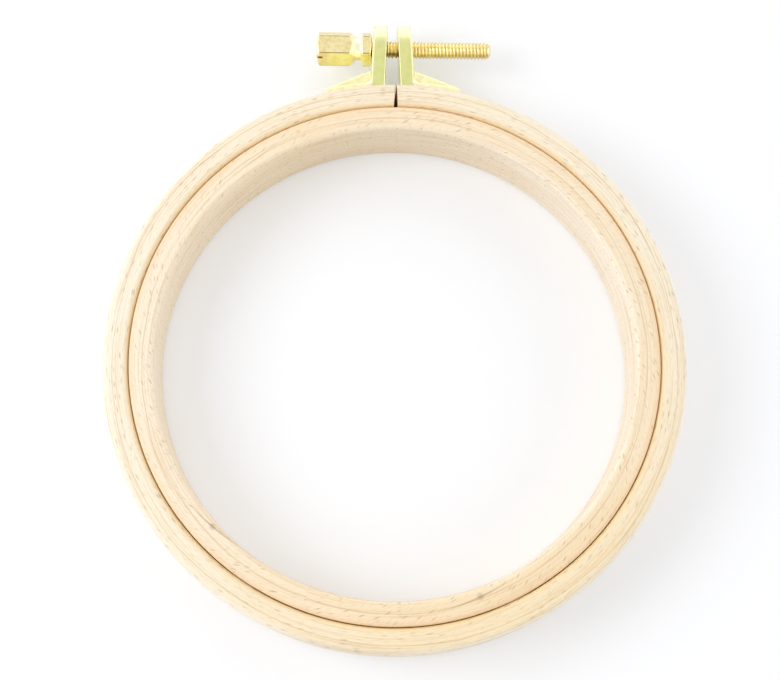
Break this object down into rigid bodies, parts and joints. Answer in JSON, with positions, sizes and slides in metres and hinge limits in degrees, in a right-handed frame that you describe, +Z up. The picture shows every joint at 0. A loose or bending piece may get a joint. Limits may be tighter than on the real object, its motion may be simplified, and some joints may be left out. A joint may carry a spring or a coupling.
{
  "type": "embroidery hoop",
  "caption": "Round wooden embroidery hoop: an inner ring inside a split outer ring that a long brass screw with a slotted hexagon head draws tight through two lugs.",
  "frame": {"origin": "centre of the bottom of the whole object's bounding box, on the plane that the hoop lies on", "axes": "+Z up through the hoop's opening, from the back face to the front face; +Y from the hoop's centre to the screw; the screw's head is at -X"},
  "size_m": [0.125, 0.142, 0.016],
  "materials": {
    "beech_inner": "bare sanded beech",
    "beech_outer": "bare sanded beech",
    "brass_lug": "cast brass, satin, with polished edges",
    "brass_pin": "drawn brass, filed flush",
    "brass_screw": "turned brass, bright"
  },
  "bodies": {
    "left_half": {"outer_ring_left": "beech_outer", "lug_left": "brass_lug", "lug_left_pin_lower": "brass_pin", "lug_left_pin_upper": "brass_pin"},
    "right_half": {"outer_ring_right": "beech_outer", "lug_right": "brass_lug", "lug_right_pin_lower": "brass_pin", "lug_right_pin_upper": "brass_pin"},
    "screw": {"clamp_screw": "brass_screw"},
    "inner": {"inner_ring": "beech_inner"}
  },
  "joints": [
    {"name": "screw_turn", "type": "hinge", "parent": "left_half", "child": "screw", "pos_m": [0, 0.06551, 0.008], "axis": [0.9999, -0.0122, 0], "range_deg": [-2880, 0]},
    {"name": "ring_flex", "type": "hinge", "parent": "left_half", "child": "right_half", "pos_m": [0, -0.06824, 0.008], "axis": [0, 0, 1], "range_deg": [-2.8, 0]},
    {"name": "inner_ring_lift", "type": "slide", "parent": "left_half", "child": "inner", "axis": [0, 0, 1], "range_m": [0, 0.03]}
  ],
  "couplings": [
    {"joint": "ring_flex", "follows": "screw_turn", "ratio": 0.00094485}
  ]
}
